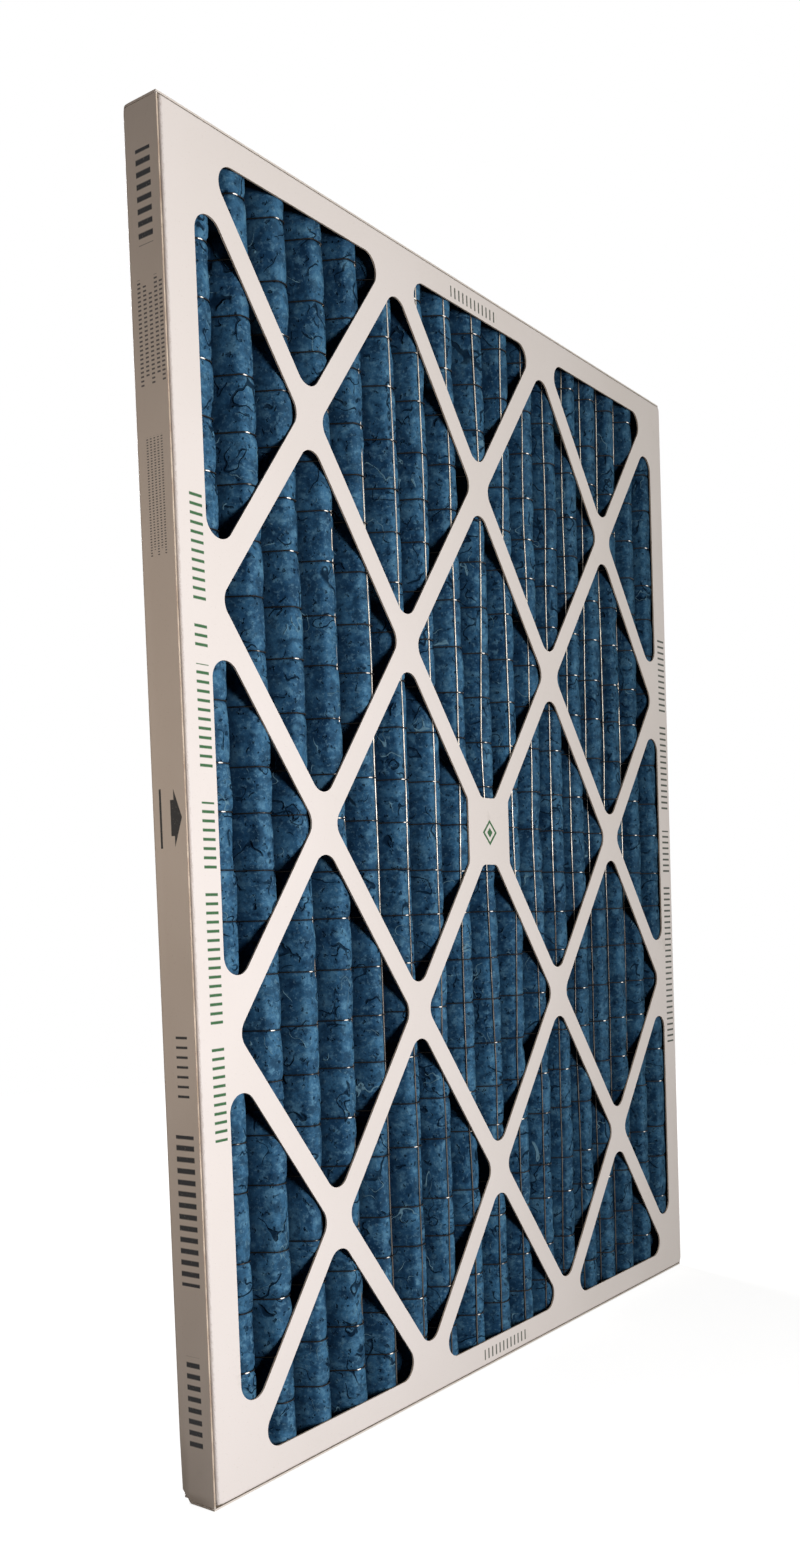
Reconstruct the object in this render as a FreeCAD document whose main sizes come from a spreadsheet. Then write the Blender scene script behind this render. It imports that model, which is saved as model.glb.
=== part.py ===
import FreeCAD, Part
import Sketcher
import math
import os
import re

# Pleated furnace air filter, 25 x 20 x 1 inch class, standing on a short edge.
#
# The frame is two die-cut paperboard trays, one nested in the other. Each has a
# lattice of diagonal bars over its face, so that the pleats are held from both
# sides. Between them stands one folded sheet of filter fabric. On its air
# leaving side the sheet carries a welded wire grid that was folded with it:
# cross wires that follow every pleat, and long wires that run along the pleats.
#
# Millimetres. +Z is up along the long side, X runs along the short side, and
# the air leaves through the front face, which looks along -Y. The origin is
# the middle of the bottom edge, at half the depth.

doc = FreeCAD.newDocument("furnace_air_filter")
sheet = doc.addObject("Spreadsheet::Sheet", "sizes")

SIZES = {
    # whole filter
    "width": 495.3,
    "height": 622.3,
    "depth": 22.2,
    # paperboard trays
    "board": 0.9,
    "fold_radius": 0.9,
    "front_proud": 1.6,
    "nest_gap": 0.2,
    "tab_length": 18.0,
    "slit": 0.4,
    # lattice over each face
    "side_border": 19.0,
    "end_border": 15.9,
    "half_cells": 6,
    "bar_width": 12.0,
    "window_radius": 9.0,
    "corner_flats": 3,
    "plate_width": 43.5,
    "plate_height": 38.5,
    "plate_radius": 5.0,
    # pleated fabric
    "fabric": 2.4,
    "pleats": 17,
    "crest_width": 8.2,
    "pleat_radius": 2.2,
    "end_flat": 9.475,
    "flap_height": 13.0,
    "seat_gap": 0.3,
    # wire grid
    "wire": 0.9,
    "wire_gap": 0.05,
    "cross_wires": 24,
    "cross_first": 8.6,
    "cross_last": 29.5,
    "long_lead": 10.3,
    "long_creep": 1.55,
}
for row, (alias, value) in enumerate(SIZES.items(), 1):
    sheet.set("A%d" % row, alias)
    sheet.set("B%d" % row, str(value))
    sheet.setAlias("B%d" % row, alias)
doc.recompute()


def size(name):
    """Value of one named size."""
    return float(sheet.get(name))


def formula(text):
    """Expression text with every size name pointed at its cell."""
    def cell(found):
        word = found.group(0)
        return "sizes." + word if word in SIZES else word
    return re.sub(r"[a-z_]+", cell, text)


def bind(obj, prop, text):
    obj.setExpression(prop, formula(text))


def box(name, x, y, z):
    """Box between two formulas on each axis."""
    obj = doc.addObject("Part::Box", name)
    for prop, axis, (low, high) in zip(("Length", "Width", "Height"), "xyz", (x, y, z)):
        bind(obj, prop, "(%s) - (%s)" % (high, low))
        bind(obj, "Placement.Base." + axis, low)
    return obj


def fuse(name, shapes):
    obj = doc.addObject("Part::MultiFuse", name)
    obj.Shapes = shapes
    return obj


def cut(name, base, tool):
    obj = doc.addObject("Part::Cut", name)
    obj.Base = base
    obj.Tool = tool
    return obj


def rounded(name, base, radii):
    """Fillet of the edges for which radii(edge) gives a radius."""
    doc.recompute()
    obj = doc.addObject("Part::Fillet", name)
    obj.Base = base
    edges = []
    for number, edge in enumerate(base.Shape.Edges, 1):
        radius = radii(edge)
        if radius:
            edges.append((number, radius, radius))
    obj.Edges = edges
    return obj


# Lattice windows
# The opening inside the border is cut up by diagonal bars that cross at every
# second corner of a grid of half cells, and by a small plate in the middle.
# What is left, with rounded corners, is the punch for both faces. There are
# many such corners, so each is rounded by three short flats, not by an arc.

CELL_X = "((width - 2 * side_border) / half_cells)"
CELL_Z = "((height - 2 * end_border) / half_cells)"
LEAN = "atan(%s / %s)" % (CELL_X, CELL_Z)
THROUGH = ("-depth", "depth")

opening = box(
    "opening",
    ("side_border - width / 2", "width / 2 - side_border"),
    THROUGH,
    ("end_border", "height - end_border"),
)
bars = []
bars_each_side = math.ceil(size("half_cells") / 2) - 1
for step in range(-bars_each_side, bars_each_side + 1):
    for side in (1, -1):
        bar = doc.addObject("Part::Box", "lattice_bar")
        bar.Placement.Rotation = FreeCAD.Rotation(FreeCAD.Vector(0, 1, 0), 30 * side)
        lean = "(%d * %s)" % (side, LEAN)
        bind(bar, "Length", "bar_width")
        bind(bar, "Width", "2 * depth")
        bind(bar, "Height", "width + height")
        bind(bar, "Placement.Rotation.Angle", lean)
        bind(bar, "Placement.Base.x", "-bar_width / 2 * cos(%s) - (width + height) / 2 * sin(%s)" % (lean, lean))
        bind(bar, "Placement.Base.y", "-depth")
        bind(
            bar,
            "Placement.Base.z",
            "height / 2 + %d * %s + bar_width / 2 * sin(%s) - (width + height) / 2 * cos(%s)"
            % (2 * step, CELL_Z, lean, lean),
        )
        bars.append(bar)
plate = box(
    "centre_plate",
    ("-plate_width / 2", "plate_width / 2"),
    THROUGH,
    ("height / 2 - plate_height / 2", "height / 2 + plate_height / 2"),
)
punch_sharp = cut("punch_sharp", opening, fuse("lattice", bars + [plate]))


def corner_radius(point):
    """Corner radius of a window, smaller beside the centre plate."""
    beside_plate = (
        abs(point.x) < size("plate_width") / 2 + 0.01
        and abs(point.z - size("height") / 2) < size("plate_height") / 2 + 0.01
    )
    return size("plate_radius") if beside_plate else size("window_radius")


def rounded_outline(points):
    """Closed outline with every corner rounded by a few short flats."""
    flats = int(size("corner_flats"))
    ring = []
    for index, point in enumerate(points):
        before = (points[index - 1] - point).normalize()
        after = (points[(index + 1) % len(points)] - point).normalize()
        turn = math.pi - before.getAngle(after)
        radius = corner_radius(point)
        middle = (before + after).normalize()
        centre = point + middle * (radius / math.cos(turn / 2))
        across = (after - before).normalize()
        part = turn / (flats + 1)
        reach = radius / math.cos(part / 2)
        for number in range(flats + 1):
            angle = (number + 0.5) * part - turn / 2
            ring.append(centre - middle * (reach * math.cos(angle)) + across * (reach * math.sin(angle)))
    return Part.Face(Part.makePolygon(ring + [ring[0]]))


doc.recompute()
windows = []
for window in punch_sharp.Shape.Solids:
    face = min(window.Faces, key=lambda item: item.CenterOfMass.y)
    corners = [vertex.Point for vertex in face.OuterWire.OrderedVertexes]
    windows.append(rounded_outline(corners).extrude(FreeCAD.Vector(0, 2 * size("depth"), 0)))
punch = doc.addObject("Part::Feature", "punch")
punch.Shape = Part.makeCompound(windows)


# Paperboard trays
# Each tray is one blank: the punched face, four walls folded up from it, and
# glue tabs that turn in from the side walls behind the end walls. The end walls
# cover the ends of the side walls, and a slit shows where they meet.

def tray(name, half_width, low, high, face_y, open_y):
    """Tray with its face at face_y and its walls' cut edges at open_y."""
    inward = 1 if face_y.startswith("-") else -1
    y = (face_y, open_y) if inward > 0 else (open_y, face_y)
    blank = box(name + "_blank", ("-(%s)" % half_width, half_width), y, (low, high))
    doc.recompute()
    face_level = blank.Shape.BoundBox.YMin if inward > 0 else blank.Shape.BoundBox.YMax

    def fold(edge):
        bounds = edge.BoundBox
        on_face = abs(bounds.YMin - face_level) < 0.001 and abs(bounds.YMax - face_level) < 0.001
        return size("fold_radius") if on_face else 0

    folded = rounded(name + "_folded", blank, fold)
    inside_x = "(%s - board)" % half_width
    beyond = "2 * depth"
    inside_y = ("%s + board" % face_y, beyond) if inward > 0 else ("-" + beyond, "%s - board" % face_y)
    cavity = box(
        name + "_cavity",
        ("-" + inside_x, inside_x),
        inside_y,
        ("%s + board" % low, "%s - board" % high),
    )
    walls = cut(name + "_walls", folded, cavity)
    tabs = []
    slits = []
    tab_y = (face_y, open_y) if inward > 0 else (open_y, face_y)
    slit_y = (
        ("%s + fold_radius" % face_y, beyond) if inward > 0 else ("-" + beyond, "%s - fold_radius" % face_y)
    )
    for side in ("left", "right"):
        if side == "left":
            tab_x = ("-" + inside_x, "tab_length - " + inside_x)
            slit_x = ("-(%s) - board" % half_width, "-%s - board / 4" % inside_x)
        else:
            tab_x = (inside_x + " - tab_length", inside_x)
            slit_x = (inside_x + " + board / 4", "%s + board" % half_width)
        bottom_tab_z = ("%s + board" % low, "%s + 2 * board" % low)
        top_tab_z = ("%s - 2 * board" % high, "%s - board" % high)
        bottom_slit_z = ("%s + board" % low, "%s + board + slit" % low)
        top_slit_z = ("%s - board - slit" % high, "%s - board" % high)
        tabs.append(box(name + "_tab", tab_x, tab_y, bottom_tab_z))
        tabs.append(box(name + "_tab", tab_x, tab_y, top_tab_z))
        slits.append(box(name + "_slit", slit_x, slit_y, bottom_slit_z))
        slits.append(box(name + "_slit", slit_x, slit_y, top_slit_z))
    tabbed = fuse(name + "_tabbed", [walls] + tabs)
    slit_open = cut(name + "_slit_open", tabbed, fuse(name + "_slits", slits))
    done = cut(name, slit_open, punch)
    done.Label = name
    return done


INNER_HALF = "(width / 2 - board - nest_gap)"
INNER_LOW = "(2 * board + nest_gap)"
INNER_HIGH = "(height - 2 * board - nest_gap)"

rear_frame = tray("rear_frame", "(width / 2)", "(0 * board)", "height", "depth / 2", "front_proud - depth / 2")
front_frame = tray(
    "front_frame",
    INNER_HALF,
    INNER_LOW,
    INNER_HIGH,
    "-depth / 2",
    "depth / 2 - board - seat_gap",
)


# Pleated fabric
# The section of one pleat, from the middle of one valley to the middle of the
# next, is padded along the pleat and repeated across the filter. Valleys and
# crests are flat, as the folding wheels leave them, and one flat stands for the
# bend at each fold. The sheet's two ends turn forward and lie against the side
# walls.

PACK_WIDTH = "(2 * %s - 2 * board - 2 * seat_gap)" % INNER_HALF
PITCH = "((%s - 2 * end_flat) / pleats)" % PACK_WIDTH
FRONT_Y = "(board - depth / 2 + 2 * wire + 3 * wire_gap)"
PACK_DEPTH = "(depth / 2 - board - seat_gap - %s)" % FRONT_Y
PACK_LOW = "(%s + 2 * board + seat_gap)" % INNER_LOW
PACK_HIGH = "(%s - 2 * board - seat_gap)" % INNER_HIGH
RUN = "(%s / 2 - crest_width)" % PITCH
RISE = "(%s - fabric)" % PACK_DEPTH
MITRE = "((sqrt(%s * %s + %s * %s) - %s) / %s)" % (RUN, RUN, RISE, RISE, RUN, RISE)
EDGE = "(fabric / 2 * %s)" % MITRE
FLAT = "(%s - (sqrt(1 + %s * %s) - 1) / %s)" % (MITRE, MITRE, MITRE, MITRE)


def numbers(texts):
    """Values of several formulas."""
    desk = doc.addObject("Spreadsheet::Sheet", "desk")
    for row, text in enumerate(texts, 1):
        desk.set("A%d" % row, "=" + formula(text))
    desk.recompute()
    cells = [desk.get("A%d" % row) for row in range(1, len(texts) + 1)]
    doc.removeObject(desk.Name)
    return [float(getattr(cell, "Value", cell)) for cell in cells]


def origin_feature(body, role):
    return next(item for item in body.Origin.OriginFeatures if item.Role == role)


def outline(body, name, corners):
    """Closed outline on the body's XY plane, each corner held by two formulas."""
    sketch = body.newObject("Sketcher::SketchObject", name)
    sketch.AttachmentSupport = [(origin_feature(body, "XY_Plane"), "")]
    sketch.MapMode = "FlatFace"
    xs = numbers([x for x, y in corners])
    ys = numbers([y for x, y in corners])
    count = len(corners)
    for index in range(count):
        after = (index + 1) % count
        start = FreeCAD.Vector(xs[index], ys[index], 0)
        end = FreeCAD.Vector(xs[after], ys[after], 0)
        sketch.addGeometry(Part.LineSegment(start, end))
    for index in range(count):
        sketch.addConstraint(Sketcher.Constraint("Coincident", index, 2, (index + 1) % count, 1))
    for index, (x, y) in enumerate(corners):
        for kind, axis, text, value in (("DistanceX", -2, x, xs[index]), ("DistanceY", -1, y, ys[index])):
            if text == "0":
                sketch.addConstraint(Sketcher.Constraint("PointOnObject", index, 1, axis))
            else:
                number = sketch.addConstraint(Sketcher.Constraint(kind, -1, 1, index, 1, value))
                bind(sketch, "Constraints[%d]" % number, text)
    return sketch


def pad(body, name, sketch, length):
    feature = body.newObject("PartDesign::Pad", name)
    feature.Profile = sketch
    bind(feature, "Length", length)
    return feature


def edges_at(shape, levels):
    """Names of the upright edges whose y is one of the levels."""
    names = []
    for number, edge in enumerate(shape.Edges, 1):
        upright = abs(edge.tangentAt(edge.FirstParameter).z) > 0.999
        if upright and any(abs(edge.CenterOfMass.y - level) < 0.01 for level in levels):
            names.append("Edge%d" % number)
    return names


media = doc.addObject("PartDesign::Body", "pleated_media")
VALLEY = "(%s - fabric)" % PACK_DEPTH
HIGH = "(%s - %s)" % (PACK_HIGH, PACK_LOW)
CREST = "(crest_width / 2 + %s)" % EDGE
HOLLOW = "(crest_width / 2 - %s)" % EDGE

left_end = outline(media, "left_end", [
    ("0", "%s - flap_height" % VALLEY),
    ("fabric", "%s - flap_height" % VALLEY),
    ("fabric", VALLEY),
    ("end_flat", VALLEY),
    ("end_flat", PACK_DEPTH),
    ("0", PACK_DEPTH),
])
pad(media, "left_end_pad", left_end, HIGH)
one_pleat = outline(media, "one_pleat", [
    ("end_flat", VALLEY),
    ("end_flat + %s" % HOLLOW, VALLEY),
    ("end_flat + %s / 2 - %s" % (PITCH, CREST), "0"),
    ("end_flat + %s / 2 + %s" % (PITCH, CREST), "0"),
    ("end_flat + %s - %s" % (PITCH, HOLLOW), VALLEY),
    ("end_flat + %s" % PITCH, VALLEY),
    ("end_flat + %s" % PITCH, PACK_DEPTH),
    ("end_flat + %s - %s" % (PITCH, CREST), PACK_DEPTH),
    ("end_flat + %s / 2 + %s" % (PITCH, HOLLOW), "fabric"),
    ("end_flat + %s / 2 - %s" % (PITCH, HOLLOW), "fabric"),
    ("end_flat + %s" % CREST, PACK_DEPTH),
    ("end_flat", PACK_DEPTH),
])
pleat = pad(media, "pleat", one_pleat, HIGH)
doc.recompute()
pleats = media.newObject("PartDesign::LinearPattern", "pleats")
pleats.Originals = [pleat]
pleats.Direction = (origin_feature(media, "X_Axis"), [""])
bind(pleats, "Length", "(pleats - 1) * %s" % PITCH)
bind(pleats, "Occurrences", "pleats")
media.Tip = pleats
doc.recompute()
right_end = outline(media, "right_end", [
    ("%s - end_flat" % PACK_WIDTH, VALLEY),
    ("%s - fabric" % PACK_WIDTH, VALLEY),
    ("%s - fabric" % PACK_WIDTH, "%s - flap_height" % VALLEY),
    (PACK_WIDTH, "%s - flap_height" % VALLEY),
    (PACK_WIDTH, PACK_DEPTH),
    ("%s - end_flat" % PACK_WIDTH, PACK_DEPTH),
])
sheet_end = pad(media, "right_end_pad", right_end, HIGH)
doc.recompute()
valley_level, depth_level = numbers([VALLEY, PACK_DEPTH])
outer_folds = media.newObject("PartDesign::Chamfer", "outer_folds")
outer_folds.Base = (sheet_end, edges_at(sheet_end.Shape, (0, depth_level)))
bind(outer_folds, "Size", "(pleat_radius + fabric / 2) * %s" % FLAT)
doc.recompute()
inner_folds = media.newObject("PartDesign::Chamfer", "inner_folds")
inner_folds.Base = (outer_folds, edges_at(outer_folds.Shape, (size("fabric"), valley_level)))
bind(inner_folds, "Size", "(pleat_radius - fabric / 2) * %s" % FLAT)
media.Tip = inner_folds
bind(media, "Placement.Base.x", "-%s / 2" % PACK_WIDTH)
bind(media, "Placement.Base.y", FRONT_Y)
bind(media, "Placement.Base.z", PACK_LOW)
media.Label = "pleated_media"


# Wire grid
# Both sets of wires follow the sheet's front surface at their own distance from
# it: the long wires lie on the fabric and the cross wires lie on the long wires.
# Their round section has few sides here, because the grid is so long.
# Unfolded, the long wires are a little closer together than the folds, so from
# pleat to pleat they creep from the crest's right flank over to its left flank.

front_y, pack_low, valley, run, rise, mitre, edge_shift, pack_width, pitch = numbers(
    [FRONT_Y, PACK_LOW, VALLEY, RUN, RISE, MITRE, EDGE, PACK_WIDTH, PITCH]
)
pleat_count = int(size("pleats"))
first_valley = size("end_flat") - pack_width / 2


def crest_half(away):
    """Half the width of a crest's flat at a distance from the fabric."""
    return size("crest_width") / 2 + edge_shift + away * mitre


def bent_line(away):
    """Corners, from left to right, of a line that follows all the pleats."""
    high = front_y - away
    low = front_y + valley - away
    hollow_half = size("crest_width") / 2 - edge_shift - away * mitre
    points = [(first_valley - hollow_half, low)]
    for number in range(pleat_count):
        left = first_valley + number * pitch
        middle = left + pitch / 2
        points.append((left + hollow_half, low))
        points.append((middle - crest_half(away), high))
        points.append((middle + crest_half(away), high))
        points.append((left + pitch - hollow_half, low))
    points.append((first_valley + pleat_count * pitch + hollow_half, low))
    return points


def spot_on_pleat(number, along, away):
    """Place at a distance along the sheet from the middle of one crest."""
    middle = first_valley + (number + 0.5) * pitch
    beyond = max(abs(along) - crest_half(away), 0)
    flank = math.hypot(run, rise)
    x = min(abs(along), crest_half(away)) + beyond * run / flank
    return middle + math.copysign(x, along), front_y - away + beyond * rise / flank


def bent_wire(back, front, width):
    """Solid of three-sided wire, flat behind and ridged in front."""
    flat = bent_line(back)
    ridge = bent_line(front)
    stations = []
    for (x, y), (ridge_x, ridge_y) in zip(flat, ridge):
        stations.append((
            FreeCAD.Vector(x, y, 0),
            FreeCAD.Vector(x, y, width),
            FreeCAD.Vector(ridge_x, ridge_y, width / 2),
        ))
    faces = [Part.Face(Part.makePolygon(list(ends) + [ends[0]])) for ends in (stations[0], stations[-1])]
    for here, there in zip(stations, stations[1:]):
        for side in range(3):
            after = (side + 1) % 3
            ring = [here[side], here[after], there[after], there[side], here[side]]
            faces.append(Part.Face(Part.makePolygon(ring)))
    return Part.Solid(Part.Shell(faces))


long_wires = []
for number in range(pleat_count):
    along = size("long_lead") - number * size("long_creep")
    x, y = spot_on_pleat(number, along, size("wire_gap") + size("wire") / 2)
    wire = doc.addObject("Part::Prism", "long_wire_%02d" % (number + 1))
    wire.Label = "long_wire_%02d" % (number + 1)
    wire.Polygon = 6
    bind(wire, "Circumradius", "wire / 2")
    bind(wire, "Height", HIGH)
    wire.Placement.Base = FreeCAD.Vector(x, y, pack_low)
    long_wires.append(wire)

cross_back = size("wire") + 2 * size("wire_gap")
cross_shape = bent_wire(cross_back, cross_back + size("wire"), size("wire"))
cross_wires = []
CROSS_PITCH = "((height - cross_first - cross_last) / (cross_wires - 1))"
for number in range(int(size("cross_wires"))):
    wire = doc.addObject("Part::Feature", "cross_wire_%02d" % (number + 1))
    wire.Label = "cross_wire_%02d" % (number + 1)
    wire.Shape = cross_shape.copy()
    bind(wire, "Placement.Base.z", "cross_first + %d * %s - wire / 2" % (number, CROSS_PITCH))
    cross_wires.append(wire)
doc.recompute()


# Check and export

for obj in doc.Objects:
    if "Invalid" in obj.State or "Error" in obj.State:
        raise RuntimeError("%s failed: %s" % (obj.Label, obj.State))

pieces = [front_frame, rear_frame, media] + long_wires + cross_wires
for piece in pieces:
    if piece.Shape.isNull() or not piece.Shape.isValid():
        raise RuntimeError("%s has no valid shape" % piece.Label)
    if len(piece.Shape.Solids) != 1:
        raise RuntimeError("%s is not one solid" % piece.Label)

os.makedirs("parts", exist_ok=True)
for piece in pieces:
    piece.Shape.exportStep("parts/%s.step" % piece.Label)
    print("%-14s %9.1f mm3 %5d faces" % (piece.Label, piece.Shape.Volume, len(piece.Shape.Faces)))
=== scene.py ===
# %% [markdown]
# # A pleated air filter
# A furnace filter is a flat cardboard frame round one folded sheet of blue
# felt. The CAD model gives every piece its place. This script dresses it: each
# section builds one piece or one finish, and says first what it is on the real
# object and why it is made the way it is.

# %% Load the CAD model
import math

import bmesh
import bpy
from mathutils import Matrix, Vector, noise


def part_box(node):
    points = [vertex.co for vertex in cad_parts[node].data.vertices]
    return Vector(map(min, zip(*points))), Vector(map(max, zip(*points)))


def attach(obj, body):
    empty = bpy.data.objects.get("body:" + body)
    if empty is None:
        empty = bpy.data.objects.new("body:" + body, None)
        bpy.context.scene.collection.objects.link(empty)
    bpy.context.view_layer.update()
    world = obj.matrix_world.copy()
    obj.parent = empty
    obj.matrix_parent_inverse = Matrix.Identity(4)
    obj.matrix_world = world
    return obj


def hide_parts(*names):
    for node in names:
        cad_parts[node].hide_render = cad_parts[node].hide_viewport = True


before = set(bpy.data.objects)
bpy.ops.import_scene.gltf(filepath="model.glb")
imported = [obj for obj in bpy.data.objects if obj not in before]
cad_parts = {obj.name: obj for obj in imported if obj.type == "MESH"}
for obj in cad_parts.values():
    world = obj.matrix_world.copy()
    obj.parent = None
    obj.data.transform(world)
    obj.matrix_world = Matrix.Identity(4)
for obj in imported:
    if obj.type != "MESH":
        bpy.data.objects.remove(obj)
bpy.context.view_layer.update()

MM = 0.001
scene = bpy.context.scene
scene.view_settings.view_transform = "Standard"

# %% [markdown]
# ## Camera
# The filter stands close to the lens and is seen from its left front, so its
# near side looms and its far side shrinks. A camera fitted to the corners of
# the frame and to the windows gives the place and the turn below. It looks down
# a little, through a lens that is shifted up.

# %% The camera
camera_right = Vector((0.58478, -0.81045, -0.03466))
camera_up = Vector((0.05696, -0.00160, 0.99838))
camera_back = camera_right.cross(camera_up)
camera_place = Vector((-0.68991, -0.44293, 0.26595))
lens = bpy.data.cameras.new("camera")
lens.sensor_fit = "VERTICAL"
lens.sensor_height = 36
lens.lens = 31.93
lens.shift_x = -0.00017
lens.shift_y = 0.12274
lens.clip_start = 0.02
camera = bpy.data.objects.new("camera", lens)
turn = Matrix((camera_right, camera_up, camera_back)).transposed()
camera.matrix_world = Matrix.Translation(camera_place) @ turn.to_4x4()
scene.collection.objects.link(camera)
scene.camera = camera
print("camera", tuple(round(c, 3) for c in camera.location), "lens", lens.lens)

# %% [markdown]
# ## Meshes and shader nodes
# Small helpers keep the rest short. Some put a thing into the scene, or work
# what an object's modifiers show into its mesh. The others add shader nodes:
# noise, ramps, sums, layers of colour, and the start and the end that every
# finish has. Each finds the node tree by a socket that it is given.

# %% Mesh helpers
def shown(name, data):
    """An object in the scene with this mesh, curve or light."""
    made = bpy.data.objects.new(name, data)
    scene.collection.objects.link(made)
    return made


def into_scene(shape, name, finishes=()):
    """An object with the bmesh's shape and these materials."""
    mesh = bpy.data.meshes.new(name)
    shape.to_mesh(mesh)
    shape.free()
    for finish in finishes:
        mesh.materials.append(finish)
    return shown(name, mesh)


def as_mesh(piece):
    """A mesh of what a piece shows."""
    graph = bpy.context.evaluated_depsgraph_get()
    return bpy.data.meshes.new_from_object(piece.evaluated_get(graph))


def work_in(piece):
    """Turns what a piece's modifiers show into its own mesh."""
    mesh = as_mesh(piece)
    piece.modifiers.clear()
    piece.data = mesh


# %% Shader helpers
def node(tree, kind, inputs=(), **settings):
    """A shader node whose inputs are set to values or linked to sockets."""
    made = tree.nodes.new("ShaderNode" + kind)
    for name, value in settings.items():
        setattr(made, name, value)
    for name, value in dict(inputs).items():
        if isinstance(value, bpy.types.NodeSocket):
            tree.links.new(value, made.inputs[name])
        else:
            made.inputs[name].default_value = value
    return made


def field(place, scale, detail=2.0, rough=0.5):
    """Noise with grains of about 1/scale metres."""
    inputs = {"Vector": place, "Scale": scale, "Detail": detail, "Roughness": rough}
    return node(place.id_data, "TexNoise", inputs).outputs[0]


def ramp(value, low, high, out_low=0.0, out_high=1.0):
    """Goes smoothly from out_low to out_high while value goes from low to high."""
    inputs = {"Value": value, 1: low, 2: high, 3: out_low, 4: out_high}
    return node(value.id_data, "MapRange", inputs, interpolation_type="SMOOTHSTEP").outputs[0]


def calc(operation, first, *others):
    """One operation on a socket and all the other values, from left to right."""
    for other in others or (0.0,):
        first = node(first.id_data, "Math", {0: first, 1: other}, operation=operation).outputs[0]
    return first


def times(*values):
    """Product of values: where they are masks, 1 where all of them are."""
    return calc("MULTIPLY", *values)


def either(*masks):
    """1 where any of the masks is 1."""
    return calc("MAXIMUM", *masks)


def off_by(value, middle):
    """How far a value is from a middle."""
    return calc("ABSOLUTE", calc("SUBTRACT", value, middle))


def weighted(*parts):
    """Sum of values, each times its weight."""
    return calc("ADD", *(times(value, weight) for value, weight in parts))


def blend(amount, first, second):
    """Colour between two colours or sockets."""
    return node(amount.id_data, "Mix", {0: amount, 6: first, 7: second}, data_type="RGBA").outputs[2]


def tint(colour, mask, amount, other):
    """A colour that goes towards another by an amount where the mask is 1."""
    return blend(times(mask, amount), colour, other)


def layered(colour, *layers):
    """A colour under layers: each has a value, its start, its full mark, an amount and a colour."""
    for value, start, full, amount, other in layers:
        colour = blend(ramp(value, start, full, 0, amount), colour, other)
    return colour


def new_finish(name):
    """A material, its Object coordinates, and their x, y and z."""
    finish = bpy.data.materials.new(name)
    finish.use_nodes = True
    place = node(finish.node_tree, "TexCoord").outputs["Object"]
    return finish, place, node(finish.node_tree, "SeparateXYZ", {0: place}).outputs


def dress(colour, roughness, relief, strength, depth, specular=0.2, metallic=0.0):
    """Links these to their material's shader. A relief of 1 is as high as depth."""
    tree = colour.id_data
    shader = tree.nodes["Principled BSDF"]
    bump = node(tree, "Bump", {"Height": relief, "Strength": strength, "Distance": depth})
    for name, socket in (("Base Color", colour), ("Roughness", roughness), ("Normal", bump.outputs[0])):
        tree.links.new(socket, shader.inputs[name])
    shader.inputs["Specular IOR Level"].default_value = specular
    shader.inputs["Metallic"].default_value = metallic


# %% [markdown]
# ## Studio
# The light in the picture comes from in front of the filter, a little to its
# left and hardly above its middle: the bars of the frame throw dark shadows
# sideways into the folds, the face is bright and the side wall stays grey. A
# near lamp does that, a far high one softens it, and a weak one grazes the side
# wall. A fourth lights the back for other views. The floor and the world show
# white to the camera only, so that the background puts no light on the object.

# %% Floor, world and lamps
WORLD_LIGHT = 0.014
FLOOR_RADIUS = 1.5
FLOOR_DROP = 0.2 * MM
# How the floor glows: less near the filter, where the lamps light it and the shadow shows.
NEAR_GLOW = {"From Min": 0.35, "From Max": 1.1, "To Min": 0.88, "To Max": 1.0}


def camera_sees(tree):
    """1 for rays that should see a white background."""
    path = node(tree, "LightPath").outputs
    seen = calc("ADD", *(path["Is %s Ray" % kind] for kind in ("Camera", "Glossy", "Transmission")))
    return node(tree, "Clamp", {"Value": seen}).outputs[0]


world = bpy.data.worlds.new("studio")
scene.world = world
world.use_nodes = True
sky = world.node_tree
strength = node(sky, "MapRange", {"Value": camera_sees(sky), "To Min": WORLD_LIGHT, "To Max": 1.0})
sky.nodes["Background"].inputs["Color"].default_value = (1, 1, 1, 1)
sky.links.new(strength.outputs[0], sky.nodes["Background"].inputs["Strength"])

floor_finish = bpy.data.materials.new("studio_floor")
floor_finish.use_nodes = True
tree = floor_finish.node_tree
tree.nodes.clear()
seen = camera_sees(tree)
matt = blend(seen, (0.06, 0.06, 0.06, 1), (0.32, 0.32, 0.32, 1))
matt = node(tree, "BsdfDiffuse", {"Color": matt})
away = node(tree, "VectorMath", {0: node(tree, "TexCoord").outputs["Object"]}, operation="LENGTH")
glow = node(tree, "MapRange", {"Value": away.outputs["Value"], **NEAR_GLOW})
glow = times(seen, glow.outputs[0])
glow = node(tree, "Emission", {"Color": (1, 1, 1, 1), "Strength": glow})
both = node(tree, "AddShader", {0: matt.outputs[0], 1: glow.outputs[0]})
node(tree, "OutputMaterial", {"Surface": both.outputs[0]})

shape = bmesh.new()
bmesh.ops.create_circle(shape, cap_ends=True, radius=FLOOR_RADIUS, segments=96)
bmesh.ops.translate(shape, verts=shape.verts, vec=(0, 0, -FLOOR_DROP))
floor = into_scene(shape, "studio_floor", [floor_finish])


def lamp(name, place, aim, width, power, colour, spread=180):
    """A square area lamp that looks at a point."""
    light = bpy.data.lights.new(name, "AREA")
    light.size = width
    light.energy = power
    light.color = colour
    light.spread = math.radians(spread)
    made = shown(name, light)
    made.location = place
    made.rotation_euler = (Vector(aim) - Vector(place)).to_track_quat("-Z", "Y").to_euler()
    made.visible_camera = False
    print(name, power, "W")


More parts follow.
